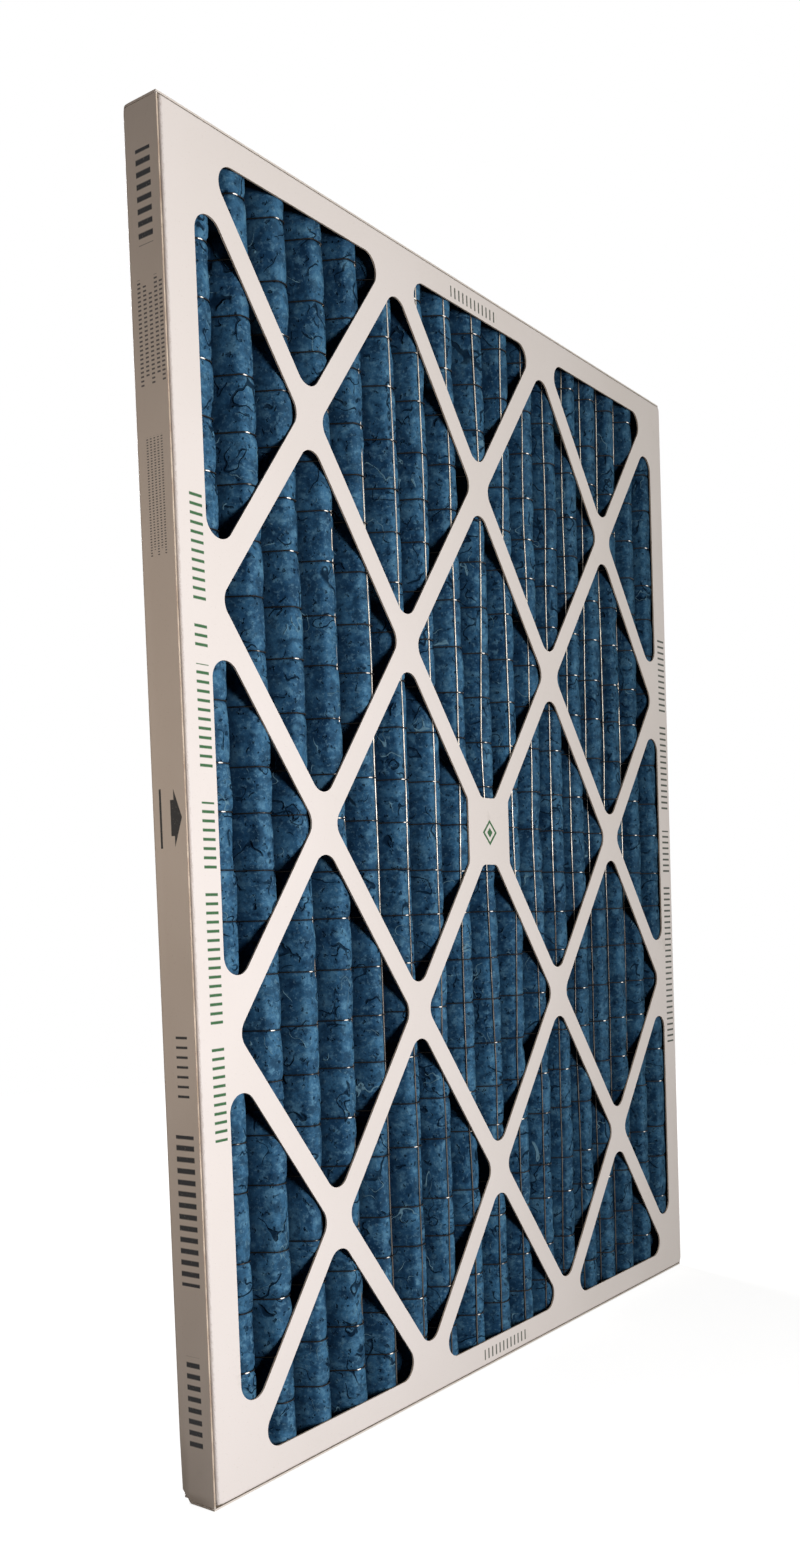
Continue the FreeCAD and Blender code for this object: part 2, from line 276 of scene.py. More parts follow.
lamp("near_lamp", (-0.38, -0.90, 0.26), (-0.62, 0, 0.25), 0.22, 8.6, (1, 0.985, 0.995))
lamp("high_lamp", (0.20, -1.90, 0.85), (0, 0, 0.28), 0.30, 9.2, (1, 0.985, 0.85))
lamp("side_lamp", (-0.80, 0.30, 0.33), (-0.25, 0, 0.33), 0.22, 0.29, (1, 0.81, 0.62), spread=90)
lamp("back_lamp", (0.55, 1.35, 1.25), (0.05, 0, 0.30), 0.60, 12, (1, 0.98, 0.96), spread=120)

# %% [markdown]
# ## Sizes
# The pieces are placed by the CAD nodes' own boxes. What a box can't give, such
# as the width of the lattice bars, is a named value in metres.

# %% Sizes
front_low, front_high = (Vector(corner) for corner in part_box("front_frame"))
rear_low, rear_high = (Vector(corner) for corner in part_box("rear_frame"))
felt_low, felt_high = (Vector(corner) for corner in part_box("pleated_media"))
HEIGHT = rear_high.z
MIDDLE = Vector((0, 0, HEIGHT / 2))
BOARD = 0.9 * MM
SIDE_BORDER = 19.0 * MM
END_BORDER = 15.9 * MM
BAR = 12.0 * MM
WINDOW_RADIUS = 9.0 * MM
PLATE = Vector((43.5 * MM, 0, 38.5 * MM))
PLATE_RADIUS = 5.0 * MM
CELL_X = (2 * rear_high.x - 2 * SIDE_BORDER) / 6
CELL_Z = (HEIGHT - 2 * END_BORDER) / 6
outer_size = (2000 * rear_high.x, 1000 * HEIGHT, 1000 * (rear_high.y - front_low.y))
print("filter %.1f x %.1f x %.1f mm" % outer_size)

# %% [markdown]
# ## Paperboard finish
# The board is grey chipboard with a smooth white coat on its outer side. Up
# close the coat is not one white: it is a little cloudy, it has fine specks, it
# is scuffed, and on the folds it has cracked and shows the board. All of that
# is noise on Object coordinates, and the folds are found by how close a point
# is to two sides of the tray at once.

# %% White coat
def near_side(coordinate, middle, half):
    """1 within about a millimetre of the two sides at middle ± half."""
    return ramp(off_by(coordinate, middle), half - 1.3 * MM, half - 0.35 * MM)


def coated_board(name, low, high, face_y, whites, printed_side, prints):
    """White coated board for the tray with this box and this face, with prints on one side."""
    finish, place, (x, y, z) = new_finish(name)
    cloud = field(place, 7, 4)
    colour = blend(ramp(cloud, 0.35, 0.65), *whites)
    colour = layered(colour, (field(place, 1100, 1), 0.66, 0.78, 0.16, (0.45, 0.38, 0.32, 1)))
    scuffs = ramp(field(place, 38, 6, 0.7), 0.60, 0.74)
    scuffs = times(scuffs, ramp(field(place, 11, 1), 0.52, 0.66))
    colour = tint(colour, scuffs, 0.28, (0.48, 0.43, 0.39, 1))
    across = near_side(x, 0.0, high.x)
    along = near_side(z, (low.z + high.z) / 2, (high.z - low.z) / 2)
    deep = near_side(y, 0.0, abs(face_y))
    crease = times(either(across, along), deep)
    corner = times(across, along)
    crack = ramp(field(place, 420, 5, 0.7), 0.44, 0.62)
    wear = times(either(crease, corner), crack)
    colour = tint(colour, wear, 0.22, (0.34, 0.25, 0.17, 1))
    ink_grain = ramp(field(place, 900, 3), 0.28, 0.40, 0.88, 1.0)
    printed = printed_side(x, y)
    for marks, ink in prints:
        mask = times(either(*marks(x, y, z)), printed)
        colour = tint(colour, mask, ink_grain, ink)
    grain = field(place, 700, 4, 0.6)
    waves = field(place, 16, 2)
    relief = weighted((grain, 0.04), (waves, 1.4), (wear, -0.12))
    dress(colour, ramp(cloud, 0.3, 0.7, 0.46, 0.58), relief, 0.5, 1 * MM)
    return finish


# %% [markdown]
# ## Raw board
# The inside of the trays is bare chipboard, and every cut edge shows the same
# grey-brown pulp in thin layers. The layers are noise that is stretched along
# the board, so that it runs in streaks on the edge. At the top and bottom of
# the filter the cut edge is wiped with the white coat and hardly shows.

# %% Bare and cut board
def raw_board(name, light, dark, stretch, wiped):
    """Pulp between two colours, drawn out by stretch, and wiped with coat at top and bottom."""
    finish, place, (_, _, height) = new_finish(name)
    laid = node(finish.node_tree, "Mapping", {"Vector": place, "Scale": stretch}).outputs[0]
    pulp = field(laid, 260, 5, 0.65)
    colour = blend(ramp(pulp, 0.32, 0.68), light, dark)
    colour = layered(colour, (field(place, 1500, 2), 0.60, 0.72, 0.35, (0.08, 0.06, 0.05, 1)))
    top = ramp(height, HEIGHT - 2.5 * MM, HEIGHT - 1.2 * MM, 0, wiped)
    bottom = ramp(height, 2.5 * MM, 1.2 * MM, 0, wiped)
    colour = blend(either(top, bottom), colour, (0.76, 0.70, 0.66, 1))
    dress(colour, ramp(pulp, 0.3, 0.7, 0.78, 0.92), pulp, 0.6, 0.15 * MM)
    return finish


bare_board = raw_board("bare_chipboard", (0.40, 0.33, 0.26, 1), (0.30, 0.245, 0.19, 1), (1, 1, 1), 0)
cut_board = raw_board("cut_board_edge", (0.60, 0.50, 0.40, 1), (0.36, 0.27, 0.20, 1), (0.35, 8, 0.35), 0.85)
print("board finishes:", bare_board.name, cut_board.name)

# %% [markdown]
# ## Print
# The board carries plain print: a block arrow and a bar on the side wall, which
# tell the fitter which way the air blows, rows of short strokes on the wall and
# the face, and a small diamond on the middle plate. Each is a field of one ink
# that a few coordinates bound, so it needs no picture. A row of strokes is a
# window on two coordinates times a comb on one of them.

# %% Ink fields
INK_BLACK = (0.014, 0.014, 0.016, 1)
INK_GREY = (0.12, 0.11, 0.11, 1)
INK_GREEN = (0.040, 0.125, 0.050, 1)
INK_DUSK = (0.050, 0.060, 0.045, 1)
ARROW_Z = 311.1 * MM
ARROW_TIP = -7.2 * MM
ARROW_NECK = -2.4 * MM
ARROW_SLOPE = 4.8 / 12.9
# Of the arrow's bar and shaft: the lower and upper y, and half the height.
ARROW_BAR = (5.2 * MM, 6.5 * MM, 13.2 * MM)
ARROW_SHAFT = (-2.6 * MM, -0.3 * MM, 8.0 * MM)


def above(coordinate, edge, soft=0.1 * MM):
    """1 above an edge."""
    return ramp(coordinate, edge - soft, edge + soft)


def below(coordinate, edge, soft=0.1 * MM):
    """1 below an edge."""
    return ramp(coordinate, edge + soft, edge - soft)


def between(coordinate, low, high, soft=0.12 * MM):
    """1 between two coordinates."""
    return times(above(coordinate, low, soft), below(coordinate, high, soft))


def on_left_wall(x, y):
    """1 on the outside of the left wall."""
    return below(x, rear_low.x + 0.4 * MM)


def on_face(x, y):
    """1 on the outside of the front face."""
    return below(y, front_low.y + 0.2 * MM)


def arrow(x, y, z):
    """Bar, shaft and head of the arrow, which points to the front."""
    up = off_by(z, ARROW_Z)
    blocks = [
        times(between(y, low, high), below(up, half))
        for low, high, half in (ARROW_BAR, ARROW_SHAFT)
    ]
    slanted = calc("SUBTRACT", y, times(up, ARROW_SLOPE))
    head = times(above(slanted, ARROW_TIP), below(y, ARROW_NECK))
    return [*blocks, head]


def strokes(across, sides, along, ends, pitch, inked):
    """A row of short strokes. Its sides, its ends and the pitch are in millimetres."""
    comb = calc("FRACT", calc("DIVIDE", along, pitch * MM))
    comb = between(comb, 0.5 - inked / 2, 0.5 + inked / 2, 0.06)
    wide, long = (
        between(coordinate, low * MM, high * MM)
        for coordinate, (low, high) in ((across, sides), (along, ends))
    )
    return times(wide, long, comb)


def left_rows(x, y, z):
    """Strokes down the left border of the face."""
    spans = ((405.5, 456), (386, 398.5), (331.5, 379), (288, 318), (216.5, 279), (165.5, 208))
    return [strokes(x, (-238.9, -230.9), z, ends, 4.1, 0.33) for ends in spans]


def right_rows(x, y, z):
    """Strokes up the right border, and two short rows at top and bottom."""
    spans = ((403, 454.5), (331.5, 393), (288, 318), (165.5, 279))
    rows = [strokes(x, (233.2, 243.2), z, ends, 4.1, 0.32) for ends in spans]
    return rows + [strokes(z, level, x, (-23, 26), 4.1, 0.30) for level in ((609, 615), (5.2, 11.2))]


def plate_mark(x, y, z):
    """A small plain diamond, a ring with a dot in it."""
    spread = calc("ADD", off_by(x, 0.5 * MM), off_by(z, 310.5 * MM))
    return [between(spread, 5.5 * MM, 7.5 * MM, 0.1 * MM), below(spread, 2.9 * MM)]


def heavy_rows(x, y, z):
    """Three heavy rows and a light one down the left wall."""
    rows = (
        ((-4.4, 4.4), (560, 601), 5.2, 0.46),
        ((-6.2, 4.8), (101, 169.5), 5.2, 0.46),
        ((-4.0, 4.2), (26.5, 69), 5.2, 0.46),
        ((-4.6, 2.4), (186, 216.5), 4.4, 0.26),
    )
    return [strokes(y, sides, z, *row) for sides, *row in rows]


def fine_rows(x, y, z):
    """Two blocks of fine rows on the left wall."""
    rows = []
    for k, middle in enumerate((5.6, 2.2, -1.2, -4.6, -7.6)):
        ends = (500 + 4 * (k % 2), 546 - 3 * (k % 3))
        rows.append(strokes(y, (middle - 0.95, middle + 0.95), z, ends, 1.9, 0.42))
    for k, middle in enumerate((4.4, 2.2, 0.0, -2.2, -4.4)):
        ends = (426 + 3 * (k % 2), 478)
        rows.append(strokes(y, (middle - 0.55, middle + 0.55), z, ends, 1.2, 0.42))
    return rows


front_coat = coated_board(
    "front_coated_board", front_low, front_high, front_low.y,
    [(0.80, 0.738, 0.715, 1), (0.775, 0.713, 0.685, 1)],
    on_face, [(left_rows, INK_GREEN), (right_rows, INK_DUSK), (plate_mark, INK_GREEN)],
)
rear_coat = coated_board(
    "rear_coated_board", rear_low, rear_high, rear_high.y,
    [(0.78, 0.70, 0.64, 1), (0.75, 0.67, 0.61, 1)],
    on_left_wall, [(arrow, INK_BLACK), (heavy_rows, INK_BLACK), (fine_rows, INK_GREY)],
)
print("coats:", front_coat.name, rear_coat.name)

# %% [markdown]
# ## The punch
# The windows are what a steel punch leaves. Its outline is found as the lattice
# itself is drawn: a plain sheet is cut along both edges of every diagonal bar,
# and the faces that lie in a bar are thrown away. The round corners are true
# arcs: a round peg is set into each corner of a window, and the window is the
# hull that a string round the pegs would draw.

# %% Window outlines
FLAT = math.radians(0.5)
UPRIGHT = Matrix.Rotation(math.radians(90), 4, "X")


def drawn_windows():
    """Flat faces, one for each window, with sharp corners."""
    sheet = bmesh.new()
    size = Matrix.Diagonal((3 * CELL_X, 3 * CELL_Z, 1, 1))
    stand = Matrix.Translation(MIDDLE) @ UPRIGHT
    bmesh.ops.create_grid(sheet, x_segments=1, y_segments=1, size=1, matrix=stand @ size)
    bars = []
    for step in range(-2, 3):
        for side in (1, -1):
            across = Vector((CELL_Z, 0, -side * CELL_X)).normalized()
            middle = MIDDLE + Vector((0, 0, 2 * step * CELL_Z))
            bars.append((middle, across))
            for edge in (-1, 1):
                bmesh.ops.bisect_plane(
                    sheet, geom=[*sheet.verts, *sheet.edges, *sheet.faces],
                    plane_co=middle + across * edge * BAR / 2, plane_no=across,
                )
    covered = [
        face for face in sheet.faces
        if any(abs((face.calc_center_median() - middle).dot(across)) < BAR / 2 for middle, across in bars)
    ]
    bmesh.ops.delete(sheet, geom=covered, context="FACES")
    bmesh.ops.remove_doubles(sheet, verts=sheet.verts, dist=0.01 * MM)
    for away in (Vector((1, 0, 0)), Vector((-1, 0, 0)), Vector((0, 0, 1)), Vector((0, 0, -1))):
        beside = MIDDLE + away * (CELL_X if away.x else CELL_Z)
        window = min(sheet.faces, key=lambda face: (face.calc_center_median() - beside).length)
        reach = (PLATE.x if away.x else PLATE.z) / 2
        bmesh.ops.bisect_plane(
            sheet, geom=[window, *window.edges, *window.verts],
            plane_co=MIDDLE + away * reach, plane_no=-away, clear_outer=True,
        )
    bmesh.ops.dissolve_limit(sheet, angle_limit=FLAT, verts=sheet.verts, edges=sheet.edges)
    return sheet


windows = drawn_windows()
print(len(windows.faces), "windows,", sum(len(face.verts) for face in windows.faces), "corners")

# %% Pegs and hulls
PEG_SIDES = 72
PUNCH_REACH = 20 * MM


def punch_shape(sheet):
    """The solid punch: one hull of round pegs for each window."""
    punch = bmesh.new()
    plate_edge = PLATE / 2 + Vector((0.1 * MM, 0, 0.1 * MM))
    for window in sheet.faces:
        corners = [vert.co.copy() for vert in window.verts]
        pegs = []
        for here, corner in enumerate(corners):
            before = (corners[here - 1] - corner).normalized()
            after = (corners[(here + 1) % len(corners)] - corner).normalized()
            off = corner - MIDDLE
            at_plate = abs(off.x) < plate_edge.x and abs(off.z) < plate_edge.z
            radius = PLATE_RADIUS if at_plate else WINDOW_RADIUS
            centre = corner + (before + after).normalized() * radius / math.sin(before.angle(after) / 2)
            for depth in (-PUNCH_REACH, PUNCH_REACH):
                place = Matrix.Translation(centre + Vector((0, depth, 0))) @ UPRIGHT
                ring = bmesh.ops.create_circle(punch, radius=radius, segments=PEG_SIDES, matrix=place)
                pegs += ring["verts"]
        hull = bmesh.ops.convex_hull(punch, input=pegs)
        left_over = hull["geom_interior"] + hull["geom_unused"]
        spare = {part for part in left_over if isinstance(part, bmesh.types.BMVert)}
        bmesh.ops.delete(punch, geom=list(spare), context="VERTS")
    loose = [edge for edge in punch.edges if not edge.link_faces]
    bmesh.ops.delete(punch, geom=loose, context="EDGES")
    bmesh.ops.dissolve_limit(punch, angle_limit=FLAT, verts=punch.verts, edges=punch.edges)
    bmesh.ops.recalc_face_normals(punch, faces=punch.faces)
    for face in punch.faces:
        face.material_index = 2
    return punch


punch = into_scene(punch_shape(windows), "punch")
windows.free()
print("punch faces:", len(punch.data.polygons))

# %% [markdown]
# ## The two trays
# Each tray is one blank, folded up round its face and glued at the corners. It
# starts as a box with its open side taken off. The four edges round the face
# are bevelled into folds, Solidify gives the wall the board's thickness inward,
# and the punch cuts the windows. Solidify and the punch also sort the faces:
# coat outside, bare board inside, pulp on the cuts. A slit at each end of the
# side walls shows where they butt against the end walls. Last the board is aged:
# it bows by a tenth of a millimetre, and its corners are knocked in.

# %% Folding and punching a tray
FOLD_WIDTH = 1.05 * MM
SLIT = 0.4 * MM
PRESSED_EDGE = 0.13 * MM


def box_shape(shape, low, high):
    """Adds a box between two corners to a bmesh."""
    low, high = Vector(low), Vector(high)
    place = Matrix.Translation((low + high) / 2) @ Matrix.Diagonal((*(high - low), 1))
    bmesh.ops.create_cube(shape, size=1, matrix=place)


def folded_tray(name, low, high, face_y, coat):
    """A tray whose face is at face_y, punched, as an object."""
    shape = bmesh.new()
    box_shape(shape, low, high)
    open_side = max(shape.faces, key=lambda face: abs(face.calc_center_median().y - face_y))
    bmesh.ops.delete(shape, geom=[open_side], context="FACES")
    folds = [edge for edge in shape.edges if all(abs(vert.co.y - face_y) < 1e-6 for vert in edge.verts)]
    bmesh.ops.bevel(
        shape, geom=folds, offset=FOLD_WIDTH, segments=4, profile=0.5, affect="EDGES", material=-1,
    )
    bmesh.ops.recalc_face_normals(shape, faces=shape.faces)
    facing = sum(face.normal.dot(face.calc_center_median() - MIDDLE) for face in shape.faces)
    if facing < 0:
        bmesh.ops.reverse_faces(shape, faces=shape.faces)
    tray = into_scene(shape, name, [coat, bare_board, cut_board])
    wall = tray.modifiers.new("board", "SOLIDIFY")
    wall.thickness = BOARD
    wall.offset = -1
    wall.use_even_offset = True
    wall.material_offset = 1
    wall.material_offset_rim = 2
    slits = bmesh.new()
    inward = 1 if face_y < 0 else -1
    edge_y = sorted((face_y + inward * 1.1 * MM, face_y + inward * 100 * MM))
    for side in (-1, 1):
        edge_x = sorted((side * (high.x + BOARD), side * (high.x - 0.7 * BOARD)))
        for edge_z in (low.z + BOARD, high.z - BOARD - SLIT):
            box_shape(slits, (edge_x[0], edge_y[0], edge_z), (edge_x[1], edge_y[1], edge_z + SLIT))
    for face in slits.faces:
        face.material_index = 2
    slits = into_scene(slits, name + "_slits")
    for tool in (punch, slits):
        cut = tray.modifiers.new("cut", "BOOLEAN")
        cut.operation = "DIFFERENCE"
        cut.solver = "EXACT"
        cut.object = tool
    work_in(tray)
    bpy.data.objects.remove(slits)
    return tray


front_tray = folded_tray("front_tray", front_low, front_high, front_low.y, front_coat)
rear_tray = folded_tray("rear_tray", rear_low, rear_high, rear_high.y, rear_coat)
bpy.data.objects.remove(punch)
print("tray faces:", len(front_tray.data.polygons), len(rear_tray.data.polygons))

# %% Bowing and knocking in the corners
EDGE_STEPS = (1.2 * MM, 2.4 * MM, 3.8 * MM, 5.5 * MM)
X, Y, Z = range(3)


def aged(tray, low, high, face_y, bow, knocks):
    """Bends the board a little and crushes corners: knocks are (x, z, reach, depth)."""
    shape = bmesh.new()
    shape.from_mesh(tray.data)
    cuts = [(Z, low.z + step) for step in EDGE_STEPS]
    cuts += [(Z, high.z - step) for step in EDGE_STEPS]
    cuts += [(X, side * (high.x - step)) for step in EDGE_STEPS for side in (-1, 1)]
    cuts += [(Y, face_y - math.copysign(step, face_y)) for step in EDGE_STEPS]
    cuts += [(Z, low.z + (high.z - low.z) * part / 20) for part in range(1, 20)]
    cuts += [(X, high.x * part / 8) for part in range(-7, 8)]
    for axis, at in cuts:
        across = Vector((axis == X, axis == Y, axis == Z))
        bmesh.ops.bisect_plane(
            shape, geom=[*shape.verts, *shape.edges, *shape.faces],
            plane_co=across * at, plane_no=across,
        )
    corners = [(Vector((x, face_y, z)), reach, depth) for x, z, reach, depth in knocks]
    for vert in shape.verts:
        here = vert.co.copy()
        sway = noise.noise(here * 9 + Vector((3, 7, 1)))
        flutter = noise.noise(here * 55)
        if abs(here.x) > high.x - 2 * BOARD and abs(here.y - face_y) > 3 * MM:
            vert.co.x -= math.copysign(bow * (abs(sway) * 0.8 + abs(flutter) * 0.5), here.x)
            vert.co.y += bow * 0.8 * flutter
        for corner, reach, depth in corners:
            near = 1 - (here - corner).length / reach
            if near > 0:
                up = math.copysign(0.8, MIDDLE.z - corner.z)
                inward = Vector((-math.copysign(1, corner.x), -math.copysign(0.55, corner.y), up))
                vert.co += inward.normalized() * depth * near ** 1.3
    shape.to_mesh(tray.data)
    shape.free()
    edge_break = tray.modifiers.new("pressed_edges", "BEVEL")
    edge_break.width = PRESSED_EDGE
    edge_break.segments = 1
    edge_break.limit_method = "ANGLE"
    edge_break.angle_limit = math.radians(55)
    work_in(tray)
    tray.data.shade_smooth()
    tray.data.set_sharp_from_angle(angle=math.radians(32))
    return len(tray.data.polygons)


rear_knocks = [
    (rear_low.x, 0, 7 * MM, 3.4 * MM),
    (rear_low.x, HEIGHT, 3 * MM, 0.5 * MM),
    (rear_high.x, 0, 5 * MM, 1.6 * MM),
    (rear_high.x, HEIGHT, 4 * MM, 1.2 * MM),
]
front_knocks = [
    (front_low.x, front_low.z, 4 * MM, 0.9 * MM),
    (front_high.x, front_low.z, 4 * MM, 1.0 * MM),
    (front_high.x, front_high.z, 3.5 * MM, 0.7 * MM),
]
print("aged front", aged(front_tray, front_low, front_high, front_low.y, 0.06 * MM, front_knocks), "faces")
print("aged rear", aged(rear_tray, rear_low, rear_high, rear_high.y, 0.10 * MM, rear_knocks), "faces")

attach(front_tray, "root")
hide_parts("front_frame")
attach(rear_tray, "root")
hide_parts("rear_frame")

# %% [markdown]
# ## The line of the folds
# The felt and both sets of wires follow one line: the middle of the felt, seen
# from above, as it runs up and down through 17 pleats. It is a row of corners
# that stray a little from pleat to pleat and with the height, because folding
# wheels and glue are not exact. A point on it is named by the distance along
# the sharp line, and near a corner it is taken from an arc. Felt and wires are
# offset from it to the front, so they stay together wherever the folds stray.

# %% Fold line
PLEATS = 17
PITCH = 27.75 * MM
FELT = 2.4 * MM
CREST_LEFT = 0.4 * MM
CREST_RIGHT = 4.1 * MM
VALLEY_HALF = 4.1 * MM
CROSS_FIRST = 8.6 * MM
CROSS_PITCH = 25.4 * MM
CREST_Y = felt_low.y + FELT / 2
VALLEY_Y = felt_high.y - FELT / 2
END_X = felt_high.x - FELT / 2
FLAP_Y = VALLEY_Y - 14.2 * MM
# Radii of the folds at a crest and at a valley.
FELT_FOLDS = (1.1 * MM, 2.7 * MM)
WIRE_FOLDS = (0.8 * MM, 3.3 * MM)
# How far a crest's left edge, its height and the wires stray from their lines.
EDGE_STRAY = 1.5 * MM
CREST_DROP = 0.7 * MM
LONG_STRAY = 1.1 * MM
CROSS_STRAY = 1.5 * MM


def ripple(*place):
    """Smooth noise at three numbers, from about -1 to 1."""
    return noise.noise(Vector(place))


def crest_middle(pleat):
    """Where a crest is before it strays."""
    return (pleat - (PLEATS - 1) / 2) * PITCH


def stray(pleat, z):
    """How far a crest has strayed sideways, in metres."""
    up = (z - MIDDLE.z) / MIDDLE.z
    wander = ripple(pleat * 3.7, z * 9, 0.5)
    drift = math.sin((pleat - 2.5) / 16 * math.pi * 1.1) * 3.2 if pleat > 2 else -0.4
    lean = -3.0 * max(0, up) ** 2 * (1 if pleat < 8 else -1.2)
    return (wander * 1.4 + drift + lean) * MM


def bulge(pleat, z):
    """How far the felt of a crest swells sideways between two cross wires."""
    place = (z - CROSS_FIRST) / CROSS_PITCH
    cell = math.floor(place)
    amount = 0.45 + 1.1 * abs(ripple(pleat * 1.7, cell * 1.31, 3.3))
    return amount * MM * math.sin(math.pi * (place - cell)) ** 0.7


def corners_at(z, strays=True, lofty=False):
    """Corners of the felt's middle line at one height, from left to right."""
    crest = [crest_middle(pleat) + (stray(pleat, z) if strays else 0) for pleat in range(PLEATS)]
    hollow = [crest[0] - PITCH / 2]
    hollow += [(here + there) / 2 for here, there in zip(crest, crest[1:])]
    hollow.append(crest[-1] + PITCH / 2)
    line = [Vector((-END_X, FLAP_Y)), Vector((-END_X, VALLEY_Y))]
    for pleat in range(PLEATS):
        left = CREST_LEFT + (EDGE_STRAY * ripple(pleat * 5.1, z * 16, 9.5) if strays else 0)
        right = CREST_RIGHT + (bulge(pleat, z) if lofty else 0)
        high = CREST_Y + (CREST_DROP * abs(ripple(pleat * 2.3, z * 17, 4.5)) if strays else 0)
        line += [
            Vector((hollow[pleat] + VALLEY_HALF, VALLEY_Y)),
            Vector((crest[pleat] - left, high)),
            Vector((crest[pleat] + right, high)),
            Vector((hollow[pleat + 1] - VALLEY_HALF, VALLEY_Y)),
        ]
    return line + [Vector((END_X, VALLEY_Y)), Vector((END_X, FLAP_Y))]


plain = corners_at(0, strays=False)
reach = [0.0]
for here, there in zip(plain, plain[1:]):
    reach.append(reach[-1] + (there - here).length)
crest_reach = [(reach[3 + 4 * pleat] + reach[4 + 4 * pleat]) / 2 for pleat in range(PLEATS)]
print("felt, flat: %.3f m, crest %.2f mm" % (reach[-1], (reach[4] - reach[3]) / MM))


def bends(line, crest_radius, valley_radius):
    """Each run's start, heading and length, and each corner's arc."""
    runs = []
    for here, there in zip(line, line[1:]):
        way = there - here
        runs.append((here, way.normalized(), way.length, math.atan2(way.y, way.x)))
    arcs = [None]
    for before, after in zip(runs, runs[1:]):
        turned = after[3] - before[3]
        radius = crest_radius if turned > 0 else valley_radius
        arcs.append((turned, min(radius * math.tan(abs(turned) / 2), 0.48 * min(before[2], after[2]))))
    return runs, arcs + [None]


def on_line(runs, arcs, run, part):
    """Place and heading at a part of one run, rounded near its corners."""
    start, way, length, heading = runs[run]
    far = part * length
    if arcs[run] and far < arcs[run][1]:
        corner, share = run, 0.5 + 0.5 * far / arcs[run][1]
    elif arcs[run + 1] and length - far < arcs[run + 1][1]:
        corner, share = run + 1, 0.5 - 0.5 * (length - far) / arcs[run + 1][1]
    else:
        return start + way * far, heading
    turned, cut = arcs[corner]
    first = runs[corner - 1][3]
    begin = runs[corner][0] - runs[corner - 1][1] * cut
    radius = cut / math.tan(turned / 2)
    now = first + turned * share
    return begin + Vector((math.sin(now) - math.sin(first), math.cos(first) - math.cos(now))) * radius, now


def run_of(far):
    """Run and part for a distance along the sharp line."""
    last = len(reach) - 2
    run = next((k for k in range(last) if far < reach[k + 1]), last)
    return run, (far - reach[run]) / (reach[run + 1] - reach[run])


def off_line(place, heading, away):
    """The point this far off a place on the line, to the front of it."""
    return place.x + math.sin(heading) * away, place.y - math.cos(heading) * away


# %% [markdown]
# ## Where the wires run
# A grid of steel wire is glued to the felt before it is folded. Cross wires
# follow the folds every 25 mm or so. Long wires run up the pleats, and since
# their spacing is a little less than a fold, they creep from the right side of
# the first crest to the left flank of the last one.

# %% Wire lines
CROSS_WIRES = 24
LONG_RADIUS = 0.45 * MM
CROSS_RADIUS = 0.34 * MM
LONG_AWAY = FELT / 2 + 0.5 * MM
CROSS_AWAY = FELT / 2 + 1.2 * MM
# Where the first long wire lies right of its crest's middle, and the creep to the next.
FIRST_WIRE = 10.3 * MM
WIRE_CREEP = 1.55 * MM
# How near the felt's ends its rows are level, held by the frame.
EDGE_HOLD = 6 * MM
# Half of a plain crest, and the way that its flank goes from there.
HALF_CREST = 5.294 * MM
FLANK_X = 0.339
FLANK_Y = 0.941
cross_z = [CROSS_FIRST + CROSS_PITCH * number for number in range(CROSS_WIRES)]
cross_lift = [
    lift * MM for lift in (
        0.0, -1.0, -4.2, -0.8, -4.0, 3.2, 1.0, 1.6, 1.2, 0.8, 1.4, 0.0,
        0.6, -1.8, -0.2, 0.4, 0.0, 0.6, 1.2, -0.2, -0.6, 1.0, 0.6, 4.6,
    )
]


def wire_start(pleat):
    """Distance along the line where the long wire of a pleat is seen from the camera."""
    along = FIRST_WIRE - WIRE_CREEP * pleat
    down = max(abs(along) - HALF_CREST, 0)
    aside = math.copysign(min(abs(along), HALF_CREST) + down * FLANK_X, along)
    seen = Vector((crest_middle(pleat) + aside, felt_low.y - 0.5 * MM + down * FLANK_Y)) - camera_place.xy
    runs, arcs = bends(plain, *WIRE_FOLDS)
    begin, end = (reach[corner + 4 * pleat] for corner in ((4, 5) if pleat < 4 else (2, 4)))

    def miss(far):
        """Angle at the camera between the wire there and the spot to meet."""
        place, heading = on_line(runs, arcs, *run_of(far))
        wire = Vector(off_line(place, heading, LONG_AWAY)) - camera_place.xy
        return abs(math.atan2(wire.y, wire.x) - math.atan2(seen.y, seen.x))

    return min((begin + (end - begin) * step / 241 for step in range(241)), key=miss)


wire_starts = [wire_start(pleat) for pleat in range(PLEATS)]


def long_wire_reach(pleat, z):
    """Distance along the line of the long wire on a pleat."""
    return wire_starts[pleat] + ripple(pleat * 7.3, z * 6, 2.5) * LONG_STRAY


def true_height(z, far):
    """Height of a nominal level z at a distance along the line, as the wires rise and fall."""
    place = (z - CROSS_FIRST) / CROSS_PITCH
    number = max(0, min(CROSS_WIRES - 1, math.floor(place)))
    part = min(1, max(0, place - number))
    low, high = (
        cross_lift[wire] + ripple(far * 7, wire * 4.1, 6.5) * CROSS_STRAY
        for wire in (number, min(CROSS_WIRES - 1, number + 1))
    )
    edge = min(z - felt_low.z, felt_high.z - z)
    return z + (low * (1 - part) + high * part) * min(1, max(0, edge / EDGE_HOLD))


print("cross wires from %.1f to %.1f mm" % (cross_z[0] / MM, cross_z[-1] / MM))

# %% [markdown]
# ## The pleated felt
# One sheet of lofty felt is folded 17 times. It is a grid laid out flat, with
# more rows near the cross wires and a column under each long wire, and each
# point is then carried to its place on the fold line. The front skin swells
# into pillows between the wires and is drawn in where a wire presses on it. The
# back skin has no wires and stays smoother. The two skins are bridged at their
# rims, so that the sheet is closed. Its UV map is the sheet laid flat, in
# metres, and an attribute keeps how hard each point is pressed.

